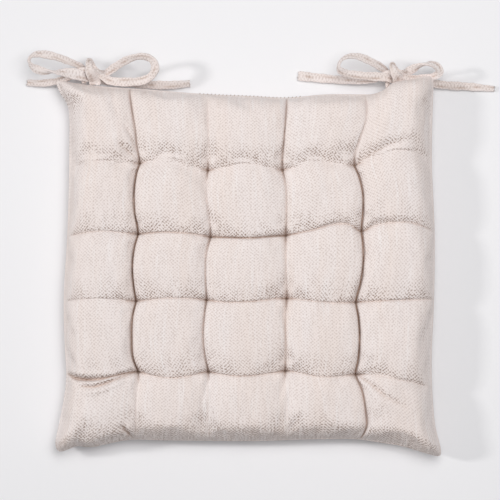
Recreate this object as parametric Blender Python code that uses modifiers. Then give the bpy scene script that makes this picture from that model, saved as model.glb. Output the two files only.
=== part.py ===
"""Tufted chair seat pad: a knife-edge cloth cover over fibre filling, with two tied ribbons at each back corner.

Metres, +Z up, +Y towards the back edge that carries the ties, +X to the right for someone who looks down
on the pad from its front edge. The origin is at the middle of the pad, on the surface that it lies on.
"""

import math

import bmesh
import bpy
import numpy as np
from mathutils import Vector

# ---- overall size ----
PAD_WIDTH = 0.395  # side seam to side seam, halfway along
PAD_DEPTH = 0.371  # front seam to back seam, halfway along
EAR_SIDE = 0.008  # how far each corner stands out past a side seam
EAR_END = 0.0175  # how far each corner stands out past the front or back seam
EAR_SIDE_POWER = 6.0
EAR_END_POWER = 2.2

# ---- quilting ----
TUFT_COLUMNS = (-0.1225, -0.0465, 0.037, 0.115)  # x, left to right
TUFT_ROWS = (-0.112, -0.0355, 0.0355, 0.1105)  # y, front to back
CELLS_PER_PILLOW = 3  # faces across one pillow
SEAM_HEIGHT = 0.020
TOP_CROWN = 0.026
TOP_TUFT = 0.009
BOTTOM_CROWN = 0.027
BOTTOM_TUFT = 0.006
CREASE_SHARE = 0.45  # how much of a crown's height is lost along a crease between two tufts
RIM_POWER = 6.0  # how late the crown falls off towards the seam

# ---- cloth, thread and fits ----
CLOTH = 0.0012
FIT = 0.0003  # gap kept between pieces that touch
SEAM_RIM = 0.003  # flat strip of cloth along the seam
SEAM_THREAD = 0.0006  # radius
SEAM_INSET = 0.0013  # seam thread to the cloth's edge
CLOSING_LENGTH = 0.110  # stretch of the back seam sewn up after filling
TUFT_THREAD = 0.0008  # radius
TUFT_KNOT = 0.0019  # radius
TUFT_SLOPE = math.radians(25)  # slope of the dimple that a knot sits in
TUFT_SIDES = 6
FILLING_EDGE = 0.001  # half thickness of the filling's edge
FILLING_INSET = 0.004  # filling's edge to the seam's flat strip
FILLING_DROP = 0.001  # filling to the height of the cover's inside

# ---- ties ----
TIE = 0.002  # radius of the folded ribbon, drawn round
TIE_ROOT = 0.0005  # radius where it is pinched into the seam
TIE_ROOT_LENGTH = 0.006
TIE_ROOT_GAP = 0.0008  # root to its bartack, so that the tie can turn
TIE_POINTS = 46
LEFT_BOW_INSET = 0.0295  # middle of the left bow's roots to the left corner's tip
RIGHT_BOW_INSET = 0.0495
ROOT_SPACING = 0.012
BARTACK = 0.0008  # radius
BARTACK_LENGTH = 0.007
BARTACK_OUT = 0.00065  # bartack to the cloth's edge

# Routes of the ties, each from its root, as steps from the middle of its bow's two roots, in millimetres.
LEFT_OUTER_ROUTE = [
    (-6, 7, -1.5), (-6, 12.5, -2.5), (-7.5, 17.5, 0), (-13, 20.5, 6), (-22.5, 23.5, 11.5),
    (-32.5, 27, 14.5), (-43.5, 29.5, 16.5), (-54.5, 30.5, 17), (-62, 28, 16.5), (-64.5, 23, 15.5),
    (-61.5, 17.5, 14.5), (-54.5, 13.5, 13.5), (-45.5, 11.5, 12.5), (-34.5, 11.5, 11.5), (-22, 10.5, 10.5),
    (-8, 8.5, 7), (0, 7, 1.2), (7, 5.6, -4), (16, 4.6, -6), (30, 3.6, -7), (46, 2.4, -8.5), (62, 1, -10.5),
    (80, 1, -13.5), (95, 2, -16), (108.5, 3.5, -17.4),
]
LEFT_INNER_ROUTE = [
    (6, 3, 1.4), (5.5, 6, 5.6), (3.5, 9, 11.2), (1.5, 13, 14.2), (0.5, 18, 14), (0, 22.5, 10.5),
    (0.5, 25, 5), (2.5, 22.5, 0), (5.5, 17.5, -1.4), (10, 13, -0.5), (18, 11.5, 3.5), (29, 18, 8),
    (39.5, 23.5, 12), (50, 27, 14.5), (59.5, 27.5, 16), (68, 24.5, 16), (72, 18, 15), (71, 11.5, 13),
    (65.5, 5.5, 10.5), (55.5, 2, 8), (43.5, 1.5, 5.5), (31.5, 2, 4), (22, 3.5, 3.5), (14.5, 7.5, 5),
    (6, 13, 7.5), (-4, 15, 7.2), (-12, 13.5, 3.5), (-20, 9.2, -1), (-30, 6, -6), (-41.5, 4, -10.5),
    (-55, 3.5, -14.5), (-70, 4.5, -17.4),
]
RIGHT_INNER_ROUTE = [
    (-6, 7, -1.5), (-6, 12, -2.5), (-7.5, 17.5, 0), (-13.5, 20.5, 7), (-21, 24, 11), (-30.5, 28, 14),
    (-40, 31, 15.5), (-49.5, 31, 16), (-57, 27.5, 15.5), (-60.5, 21, 14.5), (-58.5, 15.5, 13),
    (-51, 12.5, 11.5), (-39, 11, 10.5), (-25, 10, 9.5), (-12, 9.5, 8), (-5, 8.4, 5.5), (1, 7, 0.6),
    (7, 5.6, -4), (15, 5.8, -6.5), (28, 6.2, -8.5), (43.5, 5.2, -10.5), (56, 4, -12.8), (68, 3.5, -15),
    (82, 3, -16.8), (94.5, 2, -17.4), (112.5, 0.5, -17.5),
]
RIGHT_OUTER_ROUTE = [
    (6, 4.4, 1.4), (5.3, 6.4, 5.6), (3.2, 9, 11), (0.5, 12.5, 13.8), (-1, 17, 13.6), (-1.5, 21.5, 10),
    (-1, 23.6, 5), (1.5, 21, 0.4), (5, 17, -1.2), (11, 15, 1), (19, 17.5, 6), (27, 21, 10),
    (34.5, 23, 12.5), (42.5, 22.5, 12.5), (48.5, 19, 10.5), (50, 14.5, 7), (46.5, 12, 2.5),
    (41, 10.5, -0.5), (33, 9.8, -1.5), (24, 9, 0), (15, 9.5, 3.5), (7, 13, 7), (-2, 14.5, 7.4),
    (-10, 13, 4), (-18, 9.5, -0.5), (-27.5, 8, -5), (-41, 8.3, -9.5), (-59.5, 10, -13.5),
    (-81.5, 12.5, -16.6), (-103, 15, -17.5),
]

MILLIMETRE = 0.001
HALF_GAP = SEAM_THREAD + FIT  # each panel's edge to the seam's middle plane
NEEDLE_HOLE = (TUFT_THREAD + FIT) / math.cos(math.pi / TUFT_SIDES)  # radius, measured to the corners
INNER_WIDTH = PAD_WIDTH / 2 - SEAM_RIM  # half width of the crowned area
INNER_DEPTH = PAD_DEPTH / 2 - SEAM_RIM
COLUMN_LINES = [-1.0, *(x / INNER_WIDTH for x in TUFT_COLUMNS), 1.0]  # pillow edges, as shares of that
ROW_LINES = [-1.0, *(y / INNER_DEPTH for y in TUFT_ROWS), 1.0]
CORNER_X = PAD_WIDTH / 2 + EAR_SIDE
LEFT_BOW_X = LEFT_BOW_INSET - CORNER_X
RIGHT_BOW_X = CORNER_X - RIGHT_BOW_INSET

# ---- colours ----
LINEN = (0.72, 0.62, 0.53)
THREAD = (0.62, 0.52, 0.43)
FIBRE = (0.88, 0.88, 0.86)


def clear_scene():
    for old in list(bpy.data.objects):
        bpy.data.objects.remove(old, do_unlink=True)


def new_collection(name):
    made = bpy.data.collections.new(name)
    bpy.context.scene.collection.children.link(made)
    return made


def new_object(name, data, collection):
    made = bpy.data.objects.new(name, data)
    collection.objects.link(made)
    return made


def give_material(piece, colour, roughness):
    material = bpy.data.materials.new(piece.name)
    material.use_nodes = True
    shader = material.node_tree.nodes["Principled BSDF"]
    shader.inputs["Base Color"].default_value = (*colour, 1.0)
    shader.inputs["Roughness"].default_value = roughness
    shader.inputs["Metallic"].default_value = 0.0
    piece.data.materials.append(material)


# ---- the pad's shape ----
def plan(u, v):
    """Where a share u of the half width and a share v of the half depth lie in plan."""
    half_width = PAD_WIDTH / 2 + EAR_SIDE * abs(v) ** EAR_SIDE_POWER
    half_depth = PAD_DEPTH / 2 + EAR_END * abs(u) ** EAR_END_POWER
    return u * half_width, v * half_depth


def rim_share():
    """The share of the half width or half depth that lies inside the seam's flat strip."""
    return 1 - SEAM_RIM / (PAD_WIDTH / 2), 1 - SEAM_RIM / (PAD_DEPTH / 2)


def hollow(share, lines):
    """1 on a crease or the rim, 0 in the middle of a pillow."""
    across = np.interp(share, lines, range(len(lines)))
    return 1 - abs(math.sin(math.pi * across))


def crown(u, v, crown_height, tuft_height):
    """How far the cover stands off the seam's plane at a share u, v of the crowned area."""
    if max(abs(u), abs(v)) > 0.9999:
        return 0.0
    across, along = hollow(u, COLUMN_LINES), hollow(v, ROW_LINES)
    lost = CREASE_SHARE * (across + along) + (1 - 2 * CREASE_SHARE) * across * along
    fall = math.sqrt((1 - abs(u) ** RIM_POWER) * (1 - abs(v) ** RIM_POWER))
    return fall * (tuft_height + (crown_height - tuft_height) * (1 - lost))


def stations(lines, inner):
    """Where the grid's lines run, as shares: evenly over each pillow, with one more line at each edge."""
    count = (len(lines) - 1) * CELLS_PER_PILLOW
    places = np.interp([k / CELLS_PER_PILLOW for k in range(count + 1)], range(len(lines)), lines)
    return [-1.0, *(float(place) * inner for place in places), 1.0]


def top_height(u, v):
    return SEAM_HEIGHT + HALF_GAP + CLOTH + crown(u, v, TOP_CROWN, TOP_TUFT)


def bottom_height(u, v):
    return max(0.0, SEAM_HEIGHT - HALF_GAP - CLOTH - crown(u, v, BOTTOM_CROWN, BOTTOM_TUFT))


def grid_mesh(across, along):
    """A grid with one line at each of the given shares, its faces halved towards the pad's middle.

    Each corner's u and v are kept in x and y. Every layer is halved alike, so that no layer's fold meets the next.
    """
    mesh = bmesh.new()
    bmesh.ops.create_grid(mesh, x_segments=len(across) - 1, y_segments=len(along) - 1, size=1.0)
    for corner in mesh.verts:
        column = round((corner.co.x + 1) / 2 * (len(across) - 1))
        row = round((corner.co.y + 1) / 2 * (len(along) - 1))
        corner.co = (across[column], along[row], 0.0)
    rising, falling = [], []
    for face in mesh.faces:
        middle = face.calc_center_median()
        (rising if middle.x * middle.y >= 0 else falling).append(face)
    bmesh.ops.triangulate(mesh, faces=rising, quad_method="FIXED")
    bmesh.ops.triangulate(mesh, faces=falling, quad_method="ALTERNATE")
    return mesh


def cover_panel(name, height, faces_up, collection):
    """One cloth panel: a crowned sheet, given its thickness on the side of the filling."""
    inner_u, inner_v = rim_share()
    mesh = grid_mesh(stations(COLUMN_LINES, inner_u), stations(ROW_LINES, inner_v))
    for corner in mesh.verts:
        u, v = corner.co.x, corner.co.y
        place = plan(u, v)
        corner.co = (*place, height(u / inner_u, v / inner_v))
    if not faces_up:
        bmesh.ops.reverse_faces(mesh, faces=mesh.faces)
    data = bpy.data.meshes.new(name)
    mesh.to_mesh(data)
    mesh.free()
    panel = new_object(name, data, collection)
    wall = panel.modifiers.new("cloth", "SOLIDIFY")
    wall.thickness = CLOTH
    wall.offset = -1.0
    give_material(panel, LINEN, 0.9)
    return panel


def filling_height(u, v, crown_height, tuft_height):
    """Half thickness of the filling, which follows the cover's inside and thins to its edge."""
    return max(FILLING_EDGE, crown(u, v, crown_height, tuft_height) - FILLING_DROP)


def fibre_filling(collection):
    """The stuffing: one closed body that follows the inside of both panels."""
    inner_u, inner_v = rim_share()
    edge_u = inner_u - FILLING_INSET / (PAD_WIDTH / 2)
    edge_v = inner_v - FILLING_INSET / (PAD_DEPTH / 2)
    across = [max(-edge_u, min(edge_u, s)) for s in stations(COLUMN_LINES, inner_u)[1:-1]]
    along = [max(-edge_v, min(edge_v, s)) for s in stations(ROW_LINES, inner_v)[1:-1]]
    mesh = grid_mesh(across, along)
    lower = list(mesh.verts)
    raised = bmesh.ops.extrude_face_region(mesh, geom=mesh.faces[:])["geom"]
    upper = {item for item in raised if isinstance(item, bmesh.types.BMVert)}
    for corner in lower + list(upper):
        u, v = corner.co.x, corner.co.y
        on_edge = abs(u) > edge_u - 1e-6 or abs(v) > edge_v - 1e-6
        share = (1.0, 1.0) if on_edge else (u / inner_u, v / inner_v)
        if corner in upper:
            z = SEAM_HEIGHT + filling_height(*share, TOP_CROWN, TOP_TUFT)
        else:
            floor = CLOTH + FILLING_DROP
            z = max(floor, SEAM_HEIGHT - filling_height(*share, BOTTOM_CROWN, BOTTOM_TUFT))
        corner.co = (*plan(u, v), z)
    bmesh.ops.recalc_face_normals(mesh, faces=mesh.faces)
    data = bpy.data.meshes.new("fibre_filling")
    mesh.to_mesh(data)
    mesh.free()
    filling = new_object("fibre_filling", data, collection)
    give_material(filling, FIBRE, 1.0)
    return filling


# ---- tufts ----
def tuft_places():
    """Row, column and place in plan of each tuft, row 1 at the back and column 1 at the left."""
    inner_u, inner_v = rim_share()
    for row, v in enumerate(ROW_LINES[-2:0:-1], 1):
        for column, u in enumerate(COLUMN_LINES[1:-1], 1):
            yield row, column, u, v, plan(u * inner_u, v * inner_v)


def needle_holes(collection):
    """One cutter for every tuft, each running right through the pad."""
    mesh = bmesh.new()
    depth = 4 * SEAM_HEIGHT
    for _, _, _, _, place in tuft_places():
        made = bmesh.ops.create_cone(
            mesh, cap_ends=True, segments=TUFT_SIDES, radius1=NEEDLE_HOLE, radius2=NEEDLE_HOLE, depth=depth)
        bmesh.ops.translate(mesh, verts=made["verts"], vec=(*place, SEAM_HEIGHT))
    data = bpy.data.meshes.new("needle_holes")
    mesh.to_mesh(data)
    mesh.free()
    cutter = new_object("needle_holes", data, collection)
    cutter.hide_render = True
    cutter.display_type = "WIRE"
    return cutter


def pierce(piece, cutter):
    cut = piece.modifiers.new("needle holes", "BOOLEAN")
    cut.operation = "DIFFERENCE"
    cut.solver = "EXACT"
    cut.object = cutter


def knot_profile(middle, reach):
    """Half a knot, from its pole to the thread, as radius and height. reach is 1 upwards and -1 downwards."""
    angles = [math.radians(90), math.radians(40), 0.0]
    bead = [(TUFT_KNOT * math.cos(a), middle + reach * TUFT_KNOT * math.sin(a)) for a in angles]
    bead[0] = (0.0, bead[0][1])
    throat = math.sqrt(TUFT_KNOT**2 - TUFT_THREAD**2)
    return bead + [(TUFT_THREAD, middle - reach * throat)]


def tuft_stitch(row, column, u, v, place, collection):
    """Thread through the whole pad, knotted on the top panel and on the bottom panel."""
    seat = (TUFT_KNOT + FIT) / math.cos(TUFT_SLOPE)
    upper = knot_profile(top_height(u, v) + seat, 1)
    lower = knot_profile(bottom_height(u, v) - seat, -1)
    profile = upper + lower[::-1]
    data = bpy.data.meshes.new("tuft_stitch")
    edges = [(k, k + 1) for k in range(len(profile) - 1)]
    data.from_pydata([(r, 0.0, z) for r, z in profile], edges, [])
    stitch = new_object(f"tuft_stitch_{row}{column}", data, collection)
    stitch.location = (*place, 0.0)
    turn = stitch.modifiers.new("turn", "SCREW")
    turn.axis = "Z"
    turn.steps = TUFT_SIDES
    turn.render_steps = TUFT_SIDES
    turn.use_merge_vertices = True
    turn.merge_threshold = 0.00001
    turn.use_smooth_shade = True
    give_material(stitch, THREAD, 0.8)
    return stitch


# ---- curves ----
def wire(name, points, radius, collection, radii=None, closed=False, sides_level=2):
    """A round thread or ribbon along points, closed at both ends."""
    data = bpy.data.curves.new(name, "CURVE")
    data.dimensions = "3D"
    data.bevel_depth = radius
    data.bevel_resolution = sides_level
    data.use_fill_caps = not closed
    spline = data.splines.new("POLY")
    spline.points.add(len(points) - 1)
    spline.use_cyclic_u = closed
    for k, point in enumerate(points):
        spline.points[k].co = (*point, 1.0)
        spline.points[k].radius = radii[k] if radii else 1.0
    return new_object(name, data, collection)


def seam_line(count):
    """Points round the seam, from the right end of the closing stitches round the pad to their left end."""
    u_share = 1 - SEAM_INSET / (PAD_WIDTH / 2)
    v_share = 1 - SEAM_INSET / (PAD_DEPTH / 2)
    start = (CLOSING_LENGTH / 2 + SEAM_THREAD + FIT) / CORNER_X
    sides = [
        [(start + (u_share - start) * k / count, v_share) for k in range(count)],
        [(u_share, v_share - 2 * v_share * k / (2 * count)) for k in range(2 * count)],
        [(u_share - 2 * u_share * k / (2 * count), -v_share) for k in range(2 * count)],
        [(-u_share, -v_share + 2 * v_share * k / (2 * count)) for k in range(2 * count)],
        [(-u_share + (u_share - start) * k / count, v_share) for k in range(count + 1)],
    ]
    return [(*plan(u, v), SEAM_HEIGHT) for side in sides for u, v in side]


def edge_seam(collection):
    """The thread that joins the two panels, all round but for the stretch left open for filling."""
    seam = wire("edge_seam", seam_line(5), SEAM_THREAD, collection, sides_level=1)
    give_material(seam, THREAD, 0.8)
    return seam


def closing_seam(collection):
    """The stitches that close the back seam once the pad is filled."""
    v_share = 1 - SEAM_INSET / (PAD_DEPTH / 2)
    half = (CLOSING_LENGTH / 2 - SEAM_THREAD) / CORNER_X
    line = [(*plan(half * (k / 3 - 1), v_share), SEAM_HEIGHT) for k in range(7)]
    seam = wire("closing_seam", line, SEAM_THREAD, collection, sides_level=1)
    give_material(seam, THREAD, 0.8)
    return seam


# ---- ties ----
def back_edge(x, out):
    """The point of the back seam at x, moved out of the pad by a distance, and the seam's direction there."""
    here = Vector((*plan(x / CORNER_X, 1.0), SEAM_HEIGHT))
    beyond = Vector((*plan((x + MILLIMETRE) / CORNER_X, 1.0), SEAM_HEIGHT))
    along = (beyond - here).normalized()
    outward = Vector((-along.y, along.x, 0.0))
    return here + outward * out, along


def root_place(x):
    place, _ = back_edge(x, BARTACK_OUT + BARTACK + TIE_ROOT_GAP)
    return place


def smooth_line(points, count):
    """Evenly spaced points on the smooth curve that passes through the given ones."""
    route = np.array([points[0], *points, points[-1]], dtype=float)
    fine = []
    for k in range(len(route) - 3):
        a, b, c, d = route[k:k + 4]
        for t in np.linspace(0, 1, 24, endpoint=False):
            fine.append(0.5 * (2 * b + (c - a) * t + (2 * a - 5 * b + 4 * c - d) * t**2
                               + (3 * b - a - 3 * c + d) * t**3))
    fine = np.array([*fine, points[-1]])
    reach = np.concatenate([[0], np.cumsum(np.linalg.norm(np.diff(fine, axis=0), axis=1))])
    even = np.linspace(0, reach[-1], count)
    return [tuple(float(np.interp(s, reach, fine[:, axis])) for axis in range(3)) for s in even], reach[-1]


def tie(name, bow_x, root_x, route, collection):
    """One ribbon of a bow: pinched in the seam at its root, round the knot, out to its loop and back, to its tail."""
    middle = (root_place(bow_x - ROOT_SPACING / 2) + root_place(bow_x + ROOT_SPACING / 2)) / 2
    points = [tuple(root_place(root_x))]
    points += [tuple(middle + Vector(step) * MILLIMETRE) for step in route]
    line, length = smooth_line(points, TIE_POINTS)
    pitch = length / (TIE_POINTS - 1)
    radii = [min(1.0, (TIE_ROOT + (TIE - TIE_ROOT) * k * pitch / TIE_ROOT_LENGTH) / TIE)
             for k in range(TIE_POINTS)]
    ribbon = wire(name, line, TIE, collection, radii=radii)
    give_material(ribbon, LINEN, 0.9)
    return ribbon


def bartack(name, x, collection):
    """The dense bar of stitches that fastens a tie's root in the seam."""
    middle, along = back_edge(x, BARTACK_OUT)
    half = along * (BARTACK_LENGTH / 2)
    line = [middle - half, middle, middle + half]
    bar = wire(name, [tuple(p) for p in line], BARTACK, collection, sides_level=1)
    give_material(bar, THREAD, 0.8)
    return bar


def build():
    clear_scene()
    pad = new_collection("chair_seat_pad")
    cutters = new_collection("cutters")
    holes = needle_holes(cutters)
    top = cover_panel("top_panel", top_height, True, pad)
    bottom = cover_panel("bottom_panel", bottom_height, False, pad)
    filling = fibre_filling(pad)
    for layer in (top, bottom, filling):
        pierce(layer, holes)
    edge_seam(pad)
    closing_seam(pad)
    for row, column, u, v, place in tuft_places():
        tuft_stitch(row, column, u, v, place, pad)
    near, far = -ROOT_SPACING / 2, ROOT_SPACING / 2
    roots = {
        "left_tie_outer": (LEFT_BOW_X, LEFT_BOW_X + near, LEFT_OUTER_ROUTE),
        "left_tie_inner": (LEFT_BOW_X, LEFT_BOW_X + far, LEFT_INNER_ROUTE),
        "right_tie_inner": (RIGHT_BOW_X, RIGHT_BOW_X + near, RIGHT_INNER_ROUTE),
        "right_tie_outer": (RIGHT_BOW_X, RIGHT_BOW_X + far, RIGHT_OUTER_ROUTE),
    }
    for name, (bow_x, root_x, route) in roots.items():
        tie(name, bow_x, root_x, route, pad)
        bartack(name.replace("tie", "bartack"), root_x, pad)


build()
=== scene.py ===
"""Looks of the tufted chair seat pad: herringbone cover, fibre filling, tufts, seams and four knotted ties.

Metres, +Z up, +Y towards the back edge that carries the ties, origin under the middle of the pad.
"""

import math

import bmesh
import bpy
import numpy as np
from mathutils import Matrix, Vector


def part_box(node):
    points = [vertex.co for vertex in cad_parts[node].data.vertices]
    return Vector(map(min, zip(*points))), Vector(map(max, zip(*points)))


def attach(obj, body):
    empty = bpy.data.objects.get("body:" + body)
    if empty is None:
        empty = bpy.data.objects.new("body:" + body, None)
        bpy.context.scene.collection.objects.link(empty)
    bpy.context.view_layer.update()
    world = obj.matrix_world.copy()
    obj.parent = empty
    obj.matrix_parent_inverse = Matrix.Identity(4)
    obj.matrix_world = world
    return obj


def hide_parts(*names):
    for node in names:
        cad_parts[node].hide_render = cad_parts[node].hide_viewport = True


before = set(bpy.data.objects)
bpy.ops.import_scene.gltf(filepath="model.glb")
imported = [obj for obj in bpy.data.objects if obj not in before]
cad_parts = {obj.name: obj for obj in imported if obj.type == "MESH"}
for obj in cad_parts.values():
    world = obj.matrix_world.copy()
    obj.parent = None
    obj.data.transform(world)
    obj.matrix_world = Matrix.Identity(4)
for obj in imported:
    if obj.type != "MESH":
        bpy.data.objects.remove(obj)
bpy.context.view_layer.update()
bpy.ops.object.select_all(action="DESELECT")
MILLIMETRE = 0.001

# ---- camera ----
# Stands almost straight above the pad, a little towards its front edge, far enough off that the pillows
# keep their true plan. It takes in the whole pad with its bows.
AIM = Vector((-0.0005, 0.0188, 0.020))
CAMERA_RISE = math.radians(86)
CAMERA_DISTANCE = 2.0
FRAME_WIDTH = 0.5422  # width of the view at the height of the seam

bpy.ops.object.camera_add()
camera = bpy.context.object
camera.name = "camera"
camera.location = AIM + CAMERA_DISTANCE * Vector((0, -math.cos(CAMERA_RISE), math.sin(CAMERA_RISE)))
camera.rotation_euler = (AIM - camera.location).to_track_quat("-Z", "Y").to_euler()
camera.data.sensor_width = 36
camera.data.lens = 36 * CAMERA_DISTANCE / FRAME_WIDTH
bpy.context.scene.camera = camera
bpy.context.scene.view_settings.view_transform = "Standard"


# ---- cloth of the ties and the cover ----
# Cotton and linen herringbone: thick slubby weft under a finer warp, in upright stripes whose diagonals
# lean left and right by turns. Undyed, with thin grey-brown yarns among the cream ones.
STRIPE = 0.0085  # width of one upright stripe
TWILL_PITCH = 0.0038  # from one diagonal to the next, along the cloth
WARP_PITCH = 0.0039
WEFT_PITCH = 0.0036


def weave_group():
    """Node group: from a place on the flat cloth in metres, where the dark yarns show, how the tint drifts
    and how high the yarns stand."""
    group = bpy.data.node_groups.new("herringbone", "ShaderNodeTree")
    group.interface.new_socket("Place", in_out="INPUT", socket_type="NodeSocketVector")
    group.interface.new_socket("Diagonals", in_out="INPUT", socket_type="NodeSocketFloat")
    group.interface.new_socket("Marks", in_out="OUTPUT", socket_type="NodeSocketFloat")
    group.interface.new_socket("Tint", in_out="OUTPUT", socket_type="NodeSocketFloat")
    group.interface.new_socket("Slub", in_out="OUTPUT", socket_type="NodeSocketFloat")
    group.interface.new_socket("Height", in_out="OUTPUT", socket_type="NodeSocketFloat")
    nodes, links = group.nodes, group.links
    source = nodes.new("NodeGroupInput")
    out = nodes.new("NodeGroupOutput")

    def feed(socket, value):
        if isinstance(value, (int, float)):
            socket.default_value = value
        else:
            links.new(value, socket)

    def math_node(operation, *values):
        made = nodes.new("ShaderNodeMath")
        made.operation = operation
        for k, value in enumerate(values):
            feed(made.inputs[k], value)
        return made.outputs[0]

    def noise(scale, stretch, detail, rough=0.5):
        """Noise over the cloth, its features `stretch` times as long as wide."""
        mapped = nodes.new("ShaderNodeMapping")
        mapped.inputs["Scale"].default_value = (1.0, 1.0 / stretch, 1.0)
        links.new(source.outputs["Place"], mapped.inputs["Vector"])
        made = nodes.new("ShaderNodeTexNoise")
        made.inputs["Scale"].default_value = scale
        made.inputs["Detail"].default_value = detail
        made.inputs["Roughness"].default_value = rough
        links.new(mapped.outputs["Vector"], made.inputs["Vector"])
        return made.outputs["Fac"]

    split = nodes.new("ShaderNodeSeparateXYZ")
    links.new(source.outputs["Place"], split.inputs["Vector"])
    wander = math_node("MULTIPLY", math_node("SUBTRACT", noise(45, 5, 2), 0.5), 0.002)
    across = math_node("ADD", split.outputs["X"], wander)
    drift = math_node("MULTIPLY", math_node("SUBTRACT", noise(170, 1.5, 3), 0.5), 0.0005)
    along = math_node("ADD", split.outputs["Y"], drift)
    # within one stripe the diagonals rise to the right, in the next to the left
    fold = math_node("PINGPONG", across, STRIPE)
    rise = math_node("ADD", fold, along)
    diagonal = math_node("SINE", math_node("MULTIPLY", rise, 2 * math.pi / TWILL_PITCH))
    warp = math_node("SINE", math_node("MULTIPLY", across, 2 * math.pi / WARP_PITCH))
    weft = math_node("SINE", math_node("MULTIPLY", along, 2 * math.pi / WEFT_PITCH))
    check = math_node("MULTIPLY", warp, weft)
    patch = noise(60, 2.5, 2)
    share = math_node("MULTIPLY", math_node("SUBTRACT", patch, 0.40), 3.0)
    share = math_node("MINIMUM", math_node("MAXIMUM", share, 0.05), source.outputs["Diagonals"])
    dashed = math_node("MULTIPLY", diagonal, math_node("MULTIPLY_ADD", warp, 0.35, 0.75))
    blend = math_node("ADD", math_node("MULTIPLY", dashed, share),
                      math_node("MULTIPLY", check, math_node("SUBTRACT", 1.0, share)))
    speck = math_node("MULTIPLY", math_node("SUBTRACT", noise(600, 1.0, 2, 0.6), 0.5), 5.4)
    streak = math_node("MULTIPLY", math_node("SUBTRACT", noise(400, 9, 2, 0.6), 0.5), 2.0)
    dotted = math_node("ADD", math_node("MULTIPLY", blend, 1.25), math_node("MULTIPLY", weft, 0.16))
    raw = math_node("ADD", dotted, math_node("ADD", speck, streak))
    marks = nodes.new("ShaderNodeMapRange")
    marks.interpolation_type = "SMOOTHSTEP"
    marks.inputs["From Min"].default_value = -0.15
    marks.inputs["From Max"].default_value = 1.05
    links.new(raw, marks.inputs["Value"])
    tint = noise(34, 9, 3, 0.6)
    slub = noise(230, 14, 3, 0.65)
    thickness = math_node("ADD", math_node("MULTIPLY", slub, 1.2), math_node("MULTIPLY", speck, -0.25))
    height = math_node("ADD", math_node("MULTIPLY", blend, -0.40), thickness)
    links.new(marks.outputs["Result"], out.inputs["Marks"])
    links.new(tint, out.inputs["Tint"])
    links.new(slub, out.inputs["Slub"])
    links.new(height, out.inputs["Height"])
    return group


HERRINGBONE = weave_group()
CREAM = (0.83, 0.762, 0.740)
CREAM_WARM = (0.82, 0.732, 0.692)
YARN_DARK = (0.36, 0.275, 0.235)
SLUB_LIGHT = (0.89, 0.855, 0.845)
CREASE_SHADE_BROWN = (0.34, 0.19, 0.11)  # painted shade in a closed crease


def cloth_material(name, diagonals, mark_share, front_shade_share, bump):
    """Herringbone cloth read from the piece's own UV map, which is the flat cloth in metres.

    Two attributes of the piece carry painted shade: where it faces the front, more of its dark yarns and
    diagonals show for the shade that falls there, and in its creases, folds and tuft dimples a brown is
    painted for their shade."""
    material = bpy.data.materials.new(name)
    material.use_nodes = True
    nodes, links = material.node_tree.nodes, material.node_tree.links
    shader = nodes["Principled BSDF"]
    shader.inputs["Roughness"].default_value = 0.92
    shader.inputs["Specular IOR Level"].default_value = 0.25
    shader.inputs["Sheen Weight"].default_value = 0.12
    shader.inputs["Sheen Roughness"].default_value = 0.5
    place = nodes.new("ShaderNodeUVMap")
    place.uv_map = "cloth"
    weave = nodes.new("ShaderNodeGroup")
    weave.node_tree = HERRINGBONE
    links.new(place.outputs["UV"], weave.inputs["Place"])
    # Painted shade: on slopes that face the front, more of the diagonals show.
    painted_front_shade = nodes.new("ShaderNodeAttribute")
    painted_front_shade.attribute_name = "painted_front_shade"
    twill_and_front_shade = nodes.new("ShaderNodeMath")
    twill_and_front_shade.operation = "ADD"
    links.new(painted_front_shade.outputs["Fac"], twill_and_front_shade.inputs[0])
    twill_and_front_shade.inputs[1].default_value = diagonals
    links.new(twill_and_front_shade.outputs[0], weave.inputs["Diagonals"])
    painted_crease_shade = nodes.new("ShaderNodeAttribute")
    painted_crease_shade.attribute_name = "painted_crease_shade"

    def mix(share, first, second):
        made = nodes.new("ShaderNodeMix")
        made.data_type = "RGBA"
        for socket_name, value in (("Factor", share), ("A", first), ("B", second)):
            socket = made.inputs[socket_name]
            if isinstance(value, float):
                socket.default_value = value
            elif isinstance(value, tuple):
                socket.default_value = (*value, 1.0)
            else:
                links.new(value, socket)
        return made.outputs["Result"]

    def steepen(value, low, high, top=1.0):
        made = nodes.new("ShaderNodeMapRange")
        made.inputs["From Min"].default_value = low
        made.inputs["From Max"].default_value = high
        made.inputs["To Max"].default_value = top
        links.new(value, made.inputs["Value"])
        return made.outputs["Result"]

    ground = mix(steepen(weave.outputs["Tint"], 0.35, 0.65), CREAM, CREAM_WARM)
    slubbed = mix(steepen(weave.outputs["Slub"], 0.52, 0.72, 0.55), ground, SLUB_LIGHT)
    # Share of dark yarns shown: the cloth's own marks, raised by the painted shade on slopes that face the
    # front.
    marks_and_shade_share = nodes.new("ShaderNodeMath")
    marks_and_shade_share.operation = "MULTIPLY_ADD"
    links.new(painted_front_shade.outputs["Fac"], marks_and_shade_share.inputs[0])
    marks_and_shade_share.inputs[1].default_value = front_shade_share
    marks_and_shade_share.inputs[2].default_value = mark_share
    shown = nodes.new("ShaderNodeMath")
    shown.operation = "MULTIPLY"
    shown.use_clamp = True
    links.new(weave.outputs["Marks"], shown.inputs[0])
    links.new(marks_and_shade_share.outputs[0], shown.inputs[1])
    woven = mix(shown.outputs[0], slubbed, YARN_DARK)
    # Painted shade: brown over the cloth where the crease mask lies.
    colour = mix(painted_crease_shade.outputs["Fac"], woven, CREASE_SHADE_BROWN)
    links.new(colour, shader.inputs["Base Color"])
    relief = nodes.new("ShaderNodeBump")
    relief.inputs["Strength"].default_value = bump
    relief.inputs["Distance"].default_value = 0.0006
    links.new(weave.outputs["Height"], relief.inputs["Height"])
    links.new(relief.outputs["Normal"], shader.inputs["Normal"])
    return material


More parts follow.
